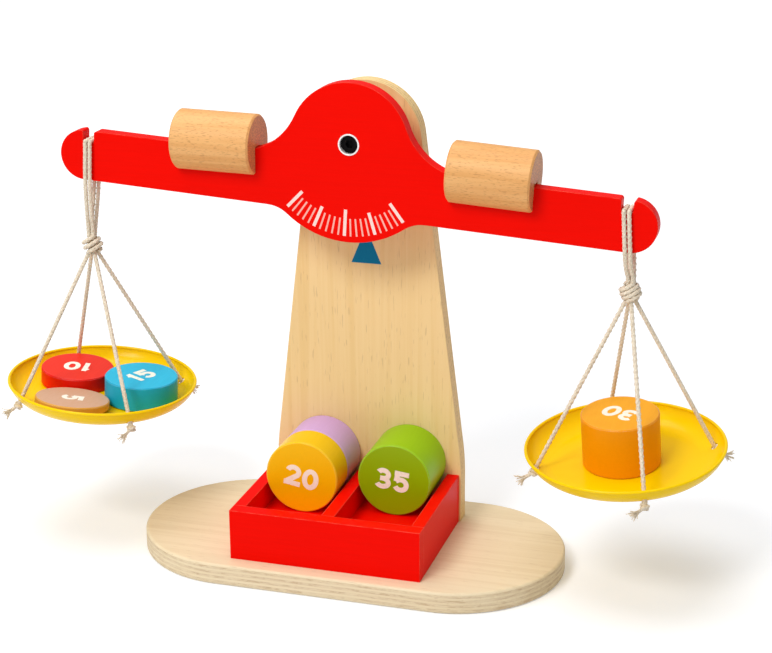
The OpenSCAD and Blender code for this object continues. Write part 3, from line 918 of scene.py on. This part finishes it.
@dataclass
class Hanging:
    """One pan with its cords, on one end of the beam."""

    side: Side
    hook: Point
    knot: Point
    pan: Point
    pitch: float
    roll: float
    leg_turn: float
    tails: tuple[float, float, float, float]
    plumb: float
    wraps: float
    cord_d: float = 2.6
    beam_y: float = 5.6
    beam_t: float = 8.0
    slot_w: float = 6.4
    soft_gap: float = 0.3
    strand_pitch: float = 2.7
    knot_d: float = 12.0
    knot_h: float = 14.0
    knot_lean: float = -25.0
    hole_r: float = 48.0
    hole_z: float = -6.83
    stopper_d: float = 5.6
    swell: float = 1.24
    tail_dip: float = 24.0
    tail_l: float = 9.0
    bundle_share: float = 0.55
    loop_root: float = 1.6
    stopper_share: float = 0.86
    stopper_turns: float = 1.5
    fibres: int = 24

    def dress(self, enamel: Material, cotton: Material) -> None:
        """Finish the pan and lay its cords.

        Args:
            enamel: The pan's finish.
            cotton: The cords' material.
        """
        finish_node(f"{self.side.word}_pan", enamel)
        self.lay_loop(cotton)
        self.lay_pan_cords(cotton)

    def lay_loop(self, cotton: Material) -> None:
        """Lay the two cords that pass over the hook slot.

        Args:
            cotton: The cords' material.
        """
        bag = MeshBag()
        braid = Braid(self.cord_d)
        for sign in (-1, 1):
            u = sign * self.strand_pitch / 2
            front = self.strand(u, -1)
            back = self.strand(u, 1)
            braid.lay(bag, list(reversed(front)) + back)
        name = f"{self.side.word}_hanger_loop"
        piece = mesh_piece(f"{name}_cord", bag.points, bag.faces, cotton, True)
        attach(piece, f"{self.side.word}_hanger")
        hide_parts(name)
        LOG.info("laid %s", piece.name)

    def strand(self, u: float, way: int) -> list[Vector]:
        """One strand from the slot's middle down one face of the beam to the knot.

        Args:
            u: The strand's step aside from its hook.
            way: -1 in front of the beam and 1 behind it.

        Returns:
            The strand's points in metres.
        """
        reach = self.cord_d / 2 + self.soft_gap
        dip = math.sqrt((self.slot_w / 2 - reach) ** 2 - (self.strand_pitch / 2) ** 2)
        x, z = self.hook[0] + u, self.hook[2] - dip
        face = self.beam_y + way * self.beam_t / 2
        shift = (self.knot[0] - self.hook[0]) * self.plumb / (self.hook[2] - self.knot[2])
        bundle = self.beam_y + way * self.strand_pitch * self.bundle_share
        top = self.knot[2] + self.knot_h / 2 - self.loop_root
        return [
            mm(x, face - way * self.soft_gap, z),
            mm(x, face + way * reach * 0.7, z - reach * 0.3),
            mm(x, face + way * reach, z - reach),
            mm(x + shift, face + way * reach, self.hook[2] - self.plumb),
            mm(self.knot[0] + u, bundle, top + self.cord_d),
            mm(self.knot[0] + u, bundle, top),
        ]

    def from_pan(self, point: Vector) -> Vector:
        """Turn a point of the pan's own frame into the part's frame.

        Args:
            point: The point in metres, from the middle of the pan's rim.

        Returns:
            The point in metres in the part's frame.
        """
        turned = Matrix.Rotation(math.radians(self.pitch), 3, "X") @ point
        return mm(*self.pan) + Matrix.Rotation(math.radians(-self.roll), 3, "Y") @ turned

    def lay_pan_cords(self, cotton: Material) -> None:
        """Tie the knot and lay its four legs, stopper knots and frayed ends.

        Args:
            cotton: The cords' material.
        """
        bag = MeshBag()
        braid = Braid(self.cord_d)
        knot = mm(*self.knot)
        self.tie_knot(bag, braid, knot)
        chance = random.Random(self.side.value + 7)
        for k in range(4):
            turn = math.radians(self.leg_turn + 90 * k)
            rim_hole = Vector((self.hole_r * math.cos(turn), self.hole_r * math.sin(turn), self.hole_z)) * MM
            hole = self.from_pan(rim_hole)
            way = (hole - knot).normalized()
            stopper = hole + way * (1.0 + self.stopper_d / 2) * MM
            braid.lay(bag, [knot + way * 3.0 * MM, knot.lerp(stopper, 0.5), stopper])
            Braid(self.cord_d * self.swell).lay(bag, [hole - way * 0.2 * MM, hole + way * MM, stopper])
            self.tie_stopper(bag, stopper, way, math.radians(self.tails[k]), chance)
        name = f"{self.side.word}_pan_cords"
        piece = mesh_piece(f"{name}_cord", bag.points, bag.faces, cotton, True)
        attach(piece, f"{self.side.word}_pan")
        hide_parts(name)
        LOG.info("laid %s", piece.name)

    def tie_knot(self, bag: MeshBag, braid: Braid, knot: Vector) -> None:
        """Wind the gathering knot round the bundle of strands.

        Args:
            bag: The piece's shapes.
            braid: The cord.
            knot: The knot's middle in metres.
        """
        tilt = Matrix.Rotation(math.radians(self.knot_lean), 3, "Y")
        wrap_r = self.cord_d / 2
        half_h = self.knot_h / 2 - wrap_r - 0.9
        count = int(self.wraps * 16)
        points = []
        for i in range(count + 1):
            share = 2 * i / count - 1
            angle = self.wraps * 2 * math.pi * i / count
            fade = min(1.0, (1 - abs(share)) * 9)
            radius = (self.knot_d / 2 - wrap_r - 1.3 * share * share) * (0.35 + 0.65 * fade)
            spot = Vector((radius * math.cos(angle), radius * math.sin(angle), half_h * share))
            points.append(knot + tilt @ spot * MM)
        braid.lay(bag, points)
        for sign in (-1, 1):
            for way in (-1, 1):
                x, y = sign * self.strand_pitch * 0.4, way * self.strand_pitch * 0.45
                top, bottom = mm(x, y, self.knot_h / 2), mm(x, y, -self.knot_h / 2 + 1.5)
                braid.lay(bag, [knot + top, knot + (top + bottom) / 2, knot + bottom])

    def tie_stopper(
        self, bag: MeshBag, centre: Vector, way: Vector, turn: float, chance: random.Random
    ) -> None:
        """Tie a small overhand knot under the pan and fray the cord's end.

        Args:
            bag: The piece's shapes.
            centre: The stopper's middle in metres.
            way: Direction of the leg into the knot.
            turn: Compass direction of the loose end in radians.
            chance: The source of the fibres' spread.
        """
        braid = Braid(self.cord_d * self.stopper_share)
        across = way.orthogonal().normalized()
        other = way.cross(across)
        ring_r = (self.stopper_d / 2 - self.cord_d * self.stopper_share / 2) * MM
        points = []
        count = 24
        for i in range(count + 1):
            angle = 2 * math.pi * self.stopper_turns * i / count
            lift = way * (i / count - 0.5) * self.stopper_d * 0.42 * MM
            points.append(centre + (across * math.cos(angle) + other * math.sin(angle)) * ring_r + lift)
        braid.lay(bag, points)
        dip = math.radians(self.tail_dip)
        tail = Vector((math.cos(turn) * math.cos(dip), math.sin(turn) * math.cos(dip), -math.sin(dip)))
        root = centre + tail * self.stopper_d * 0.3 * MM
        neck = centre + tail * (self.stopper_d / 2 + self.tail_l * 0.12) * MM
        braid.lay(bag, [root, (root + neck) / 2, neck])
        reach = self.tail_l * 0.78 * MM
        side = tail.orthogonal().normalized()
        up = tail.cross(side)
        for _ in range(self.fibres):
            angle = chance.uniform(0, 2 * math.pi)
            spread = chance.uniform(0.12, 0.7)
            start = (side * math.cos(angle) + up * math.sin(angle)) * chance.uniform(0.1, 0.9) * MM
            lean = (side * math.cos(angle) + up * math.sin(angle)) * spread
            length = reach * chance.uniform(0.55, 0.95)
            middle = neck + start + (tail + lean * 0.5).normalized() * length * 0.5
            tip = neck + start + (tail + lean).normalized() * length
            self.lay_fibre(bag, [neck - tail * 0.6 * MM + start * 0.8, middle, tip])

    def lay_fibre(self, bag: MeshBag, points: list[Vector]) -> None:
        """Add one loose fibre.

        Args:
            bag: The piece's shapes.
            points: The fibre's points in metres.
        """
        fibre = Braid(0.42, sides=5, step=0.9, bulge=0.0)
        bag.tube(fibre.rings(smooth_route(points, fibre.step * MM)))


Stroke = list[tuple[float, float]]


@dataclass(frozen=True)
class Numeral:
    """Bold digits drawn with strokes, each a line of points from -1 to 1 across and up its cell."""

    height: float = 12.4
    width: float = 9.5
    stroke: float = 2.85
    gap: float = 0.75
    layer: float = 0.006

    def arc(self, cx: float, cy: float, rx: float, ry: float, start: float, end: float) -> Stroke:
        """Points along part of an ellipse.

        Args:
            cx: Its middle across.
            cy: Its middle upward.
            rx: Its half width.
            ry: Its half height.
            start: First angle in degrees.
            end: Last angle in degrees.

        Returns:
            The points in order.
        """
        steps = max(4, int(abs(end - start) / 9))
        angles = [math.radians(start + (end - start) * i / steps) for i in range(steps + 1)]
        return [(cx + rx * math.cos(a), cy + ry * math.sin(a)) for a in angles]

    def strokes(self, digit: str) -> list[Stroke]:
        """The strokes of one digit, split wherever it turns a sharp corner.

        Args:
            digit: The digit.

        Returns:
            The strokes' middle lines.
        """
        foot = 1.0 + self.stroke / (self.height - self.stroke)
        edge = 1.0 + self.stroke / (self.width - self.stroke)
        lines: dict[str, list[Stroke]] = {
            "0": [self.arc(0, 0, 1, 1, 90, -270)],
            "1": [[(0.2, foot), (0.2, -foot)], [(0.2, 0.92), (-1.0, 0.42)]],
            "2": [
                self.arc(0, 0.42, 0.95, 0.58, 168, -38) + [(-0.9, -0.86), (-1.0, -1.0)],
                [(-1.0 - 0.3 * edge, -1.0), (edge, -1.0)],
            ],
            "3": [
                self.arc(-0.05, 0.5, 0.88, 0.5, 155, -90) + [(-0.55, 0.0)],
                [(-0.55, 0.0)] + self.arc(-0.05, -0.5, 1.0, 0.5, 90, -155),
            ],
            "5": [
                [(-edge * 0.86, 1.0), (edge * 0.86, 1.0)],
                [(-0.66, foot), (-0.84, 0.0)],
                [(-0.9, -0.02)] + self.arc(-0.02, -0.36, 0.98, 0.64, 125, -152),
            ],
        }
        return lines[digit]

    def is_ring(self, line: list[Vector]) -> bool:
        """Whether a stroke ends where it starts."""
        return (line[0] - line[-1]).length < self.layer

    def outline(self, line: list[Vector]) -> tuple[list[Vector], list[Vector]]:
        """Both edges of a stroke of even width.

        Args:
            line: The stroke's middle in millimetres.

        Returns:
            The points along its left and its right edge.
        """
        left, right = [], []
        last = len(line) - 1
        ring = self.is_ring(line)
        for i, here in enumerate(line):
            ahead = line[i + 1] if i < last else line[1]
            behind = line[i - 1] if i else line[last - 1]
            leave = (ahead - here).normalized() if ring or i < last else (here - behind).normalized()
            entry = (here - behind).normalized() if ring or i else leave
            middle = (entry + leave).normalized()
            normal = Vector((-middle.y, middle.x)) * self.stroke / 2 / max(0.6, middle.dot(entry))
            left.append(here + normal)
            right.append(here - normal)
        return left, right

    def lay(self, bag: MeshBag, text: str, place: Matrix, depth: float) -> None:
        """Print a number.

        Args:
            bag: The piece's shapes.
            text: The number's digits.
            place: Frame whose X reads along the number and whose Z leaves the surface, in metres.
            depth: Thickness of the ink in millimetres.
        """
        widths = [self.width * (0.6 if digit == "1" else 1.0) for digit in text]
        cursor = -(sum(widths) + self.gap * (len(text) - 1)) / 2
        for digit, width in zip(text, widths):
            half_w, half_h = (width - self.stroke) / 2, (self.height - self.stroke) / 2
            for order, line in enumerate(self.strokes(digit)):
                points = [Vector((cursor + width / 2 + x * half_w, y * half_h)) for x, y in line]
                self.lay_stroke(bag, points, place, depth + order * self.layer)
            cursor += width + self.gap

    def lay_stroke(self, bag: MeshBag, points: list[Vector], place: Matrix, depth: float) -> None:
        """Print one stroke as a thin closed ribbon.

        Args:
            bag: The piece's shapes.
            points: The stroke's middle in millimetres.
            place: Frame of the number, in metres.
            depth: Thickness of the ink in millimetres.
        """
        left, right = self.outline(points)
        rings = []
        for a, b in zip(left, right):
            corners = ((a, depth), (b, depth), (b, -depth / 2), (a, -depth / 2))
            rings.append([place @ mm(spot.x, spot.y, z) for spot, z in corners])
        if self.is_ring(points):
            bag.tube(rings[:-1], closed=True)
        else:
            bag.tube(rings)


@dataclass(frozen=True)
class Disc:
    """One weight: value, lacquers, where its shown face looks, how its number reads and sits. On the discs in
    the pans the face colour is partly paint and partly painted top light and sheen.
    """

    grams: int
    side: Colour
    face: Colour
    toward: Point
    reading: float
    aside: float = 0.0
    ink: Colour = (0.96, 0.93, 0.79)

    @property
    def node(self) -> str:
        """The solid's name."""
        return f"weight_{self.grams}"

    def worn(self) -> Colour:
        """The paler colour along the rim: partly lacquer laid thin, partly a painted highlight."""
        return tuple(0.6 * channel + 0.32 for channel in self.face)

    def shown_face(self) -> tuple[Vector, Vector]:
        """Find the flat face that looks the way of the number.

        Returns:
            The face's middle in metres and its direction.
        """
        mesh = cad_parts[self.node].data
        toward = Vector(self.toward)
        flats = [polygon for polygon in mesh.polygons if polygon.normal.dot(toward) > 0.96]
        area = sum(polygon.area for polygon in flats)
        up = sum((polygon.normal * polygon.area for polygon in flats), Vector()) / area
        corners = [mesh.vertices[index].co for polygon in flats for index in polygon.vertices]
        low = Vector([min(corner[axis] for corner in corners) for axis in range(3)])
        high = Vector([max(corner[axis] for corner in corners) for axis in range(3)])
        return (low + high) / 2, up.normalized()


@dataclass
class WeightSet:
    """The seven numbered discs."""

    discs: list[Disc]
    ink_depth: float = 0.05

    def dress(self) -> None:
        """Finish each disc and print its number."""
        for disc in self.discs:
            middle, up = disc.shown_face()
            name = f"lacquer_{disc.grams}"
            # The face colour carries painted top light and sheen on the discs in the pans; the rim colour is
            # partly thin paint and partly a painted highlight.
            rim = disc.worn()
            lacquer = Lacquer(name, disc.side, Axis.Y, 0.6, disc.face, tuple(up), rim, grain_depth=0.02)
            finish_node(disc.node, lacquer.material())
            self.print_number(disc, middle, up)

    def print_number(self, disc: Disc, middle: Vector, up: Vector) -> None:
        """Print a disc's number in the middle of its shown face.

        Args:
            disc: The weight.
            middle: The face's middle in metres.
            up: The face's direction.
        """
        angle = math.radians(disc.reading)
        across, along = math.cos(angle), math.sin(angle)
        reading = Vector((across, along, 0) if abs(up.z) > 0.5 else (across, 0, along))
        reading = (reading - up * reading.dot(up)).normalized()
        rise = up.cross(reading)
        place = Matrix((reading, rise, up)).transposed().to_4x4()
        place.translation = middle + reading * disc.aside * MM
        bag = MeshBag()
        Numeral().lay(bag, str(disc.grams), place, self.ink_depth)
        thin = tuple(0.6 * a + 0.4 * b for a, b in zip(disc.ink, disc.face))
        ink = Ink(f"number_ink_{disc.grams}", disc.ink, thin).material()
        piece = mesh_piece(f"number_{disc.grams}", bag.points, bag.faces, ink, False)
        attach(piece, disc.node)
        LOG.info("printed %s", piece.name)


@dataclass
class Studio:
    """Floor, lights, sky and the photograph's camera."""

    eye: Point = (294.55, -902.4, 450.4)
    forward: Point = (-0.27577, 0.90752, -0.31678)
    right: Point = (0.95735, 0.28889, -0.00579)
    focal_px: float = 1852.5
    sensor_mm: float = 36.0
    floor_reach: float = 14.0
    floor_glow: float = 0.24
    far_glow: float = 0.65
    near_m: float = 0.4
    far_m: float = 1.5
    sky_light: float = 0.40
    aim: Point = (0.0, 0.0, 0.12)

    def build(self) -> None:
        """Make the camera, the floor, the lights and the sky."""
        self.set_camera()
        self.lay_floor()
        self.hang_lights()
        self.set_sky()
        LOG.info("studio is ready")

    def set_camera(self) -> None:
        """Stand the camera where the photograph was taken from."""
        data = bpy.data.cameras.new("photo_camera")
        data.sensor_fit = "HORIZONTAL"
        data.sensor_width = self.sensor_mm
        data.lens = self.focal_px / PHOTO_WIDTH * self.sensor_mm
        data.clip_start, data.clip_end = 0.05, 50.0
        camera = bpy.data.objects.new("photo_camera", data)
        bpy.context.scene.collection.objects.link(camera)
        forward = Vector(self.forward).normalized()
        right = (Vector(self.right) - forward * Vector(self.right).dot(forward)).normalized()
        up = right.cross(forward)
        turn = Matrix((right, up, -forward)).transposed()
        camera.matrix_world = Matrix.Translation(mm(*self.eye)) @ turn.to_4x4()
        bpy.context.scene.camera = camera

    def lay_floor(self) -> None:
        """Lay a white floor that keeps the object's shadow."""
        shader = Shader("studio_floor")
        shader.surface.inputs["Roughness"].default_value = 0.9
        cloud = shader.noise(3.0, 2.0)
        shader.paint(shader.mix(shader.band(cloud, 0.3, 0.7), (0.82, 0.835, 0.86), (0.83, 0.845, 0.87)))
        path = shader.tree.nodes.new("ShaderNodeLightPath")
        seen = shader.math("MAXIMUM", path.outputs["Is Camera Ray"], path.outputs["Is Glossy Ray"])
        seen = shader.math("MAXIMUM", seen, path.outputs["Is Transmission Ray"])
        shader.surface.inputs["Emission Color"].default_value = (1, 1, 1, 1)
        away = shader.tree.nodes.new("ShaderNodeVectorMath")
        away.operation = "LENGTH"
        shader.wire(shader.place(), away.inputs[0])
        glow = shader.band(away.outputs["Value"], self.near_m, self.far_m, self.floor_glow, self.far_glow)
        shader.wire(shader.math("MULTIPLY", seen, glow), shader.surface.inputs["Emission Strength"])
        reach = self.floor_reach
        corners = [Vector((x * reach, y * reach, 0)) for x, y in ((-1, -1), (1, -1), (1, 1), (-1, 1))]
        floor = mesh_piece("studio_floor", corners, [(0, 1, 2, 3)], shader.material, False)

    def hang_lights(self) -> None:
        """Hang a soft light overhead and another one up in front."""
        self.hang("top_softbox", (-0.25, 0.05, 1.7), 1.2, 15.5)
        self.hang("front_softbox", (-0.5, -1.45, 1.65), 0.7, 23.5)

    def hang(self, name: str, place: Point, size: float, power: float) -> None:
        """Hang one square light that faces the object.

        Args:
            name: The light's name.
            place: Its place in metres.
            size: Its side in metres.
            power: Its power in watts.
        """
        data = bpy.data.lights.new(name, "AREA")
        data.size = size
        data.energy = power
        lamp = bpy.data.objects.new(name, data)
        bpy.context.scene.collection.objects.link(lamp)
        lamp.location = place
        lamp.rotation_mode = "QUATERNION"
        lamp.rotation_quaternion = (Vector(self.aim) - Vector(place)).to_track_quat("-Z", "Y")

    def set_sky(self) -> None:
        """Light the room evenly and show white where the floor ends."""
        world = bpy.data.worlds.new("studio_sky")
        bpy.context.scene.world = world
        world.use_nodes = True
        tree = world.node_tree
        background = tree.nodes["Background"]
        background.inputs["Color"].default_value = (1, 1, 1, 1)
        path = tree.nodes.new("ShaderNodeLightPath")
        strength = tree.nodes.new("ShaderNodeMapRange")
        strength.inputs["To Min"].default_value = self.sky_light
        strength.inputs["To Max"].default_value = 1.0
        tree.links.new(path.outputs["Is Camera Ray"], strength.inputs["Value"])
        tree.links.new(strength.outputs["Result"], background.inputs["Strength"])
        bpy.context.scene.view_settings.view_transform = "Standard"


def weights() -> WeightSet:
    """Gather the seven discs with their colours and the way that their numbers read.

    Returns:
        The set of weights.
    """
    above, front = (0.0, 0.0, 1.0), (0.0, -1.0, 0.0)
    # Face colours: darker paint on the end grain of the forward faces in the tray; the faces that look up out
    # of the pans are painted lighter and whiter for top light and sheen.
    return WeightSet(
        [
            Disc(5, (0.74, 0.36, 0.04), (0.69, 0.42, 0.275), above, -73.0),
            Disc(10, (0.80, 0.008, 0.002), (0.90, 0.032, 0.013), above, 192.0),
            Disc(15, (0.012, 0.43, 0.66), (0.03, 0.53, 0.78), above, 68.0),
            Disc(20, (0.95, 0.60, 0.004), (0.97, 0.55, 0.0), front, -9.5),
            Disc(25, (0.68, 0.44, 0.80), (0.64, 0.40, 0.75), front, 0.0),
            Disc(30, (0.93, 0.33, 0.0), (1.0, 0.44, 0.02), above, 156.0),
            Disc(35, (0.33, 0.60, 0.002), (0.28, 0.46, 0.0), front, -6.5, -1.0),
        ]
    )


def hangings() -> list[Hanging]:
    """Place the two pans' cords as the solids have them.

    Returns:
        The left and the right hanging.
    """
    left = Hanging(
        Side.LEFT, (-149.64, 5.6, 227.42), (-152.69, 5.6, 166.52), (-151.20, 5.6, 86.12), 0.3, -4.2, 43.0,
        (60, 175, 222, 252), 27.0, 3.2,
    )
    right = Hanging(
        Side.RIGHT, (147.80, 5.6, 209.23), (150.35, 5.6, 164.33), (150.66, 5.6, 79.03), 5.8, 3.0, 21.0,
        (40, 150, 208, 228), 27.0, 4.4,
    )
    return [left, right]


def main() -> None:
    """Dress every sub-assembly in order."""
    logging.basicConfig(level=logging.INFO, format="%(name)s: %(message)s")
    Studio().build()
    # Pinkish red laid in patches along the red parts' edges: a painted highlight.
    edge_highlight_red = (0.96, 0.14, 0.09)
    red = Lacquer("red_lacquer", (0.92, 0.003, 0.0), edge_colour=edge_highlight_red, level=0.035, coat=0.0).material()
    Stand().dress(red)
    Pivot().dress()
    Beam().dress(red)
    Counterweights().dress()
    enamel = Enamel("yellow_enamel").material()
    cotton = Cotton("cotton_cord").material()
    for hanging in hangings():
        hanging.dress(enamel, cotton)
    weights().dress()


if __name__ == "__main__":
    main()
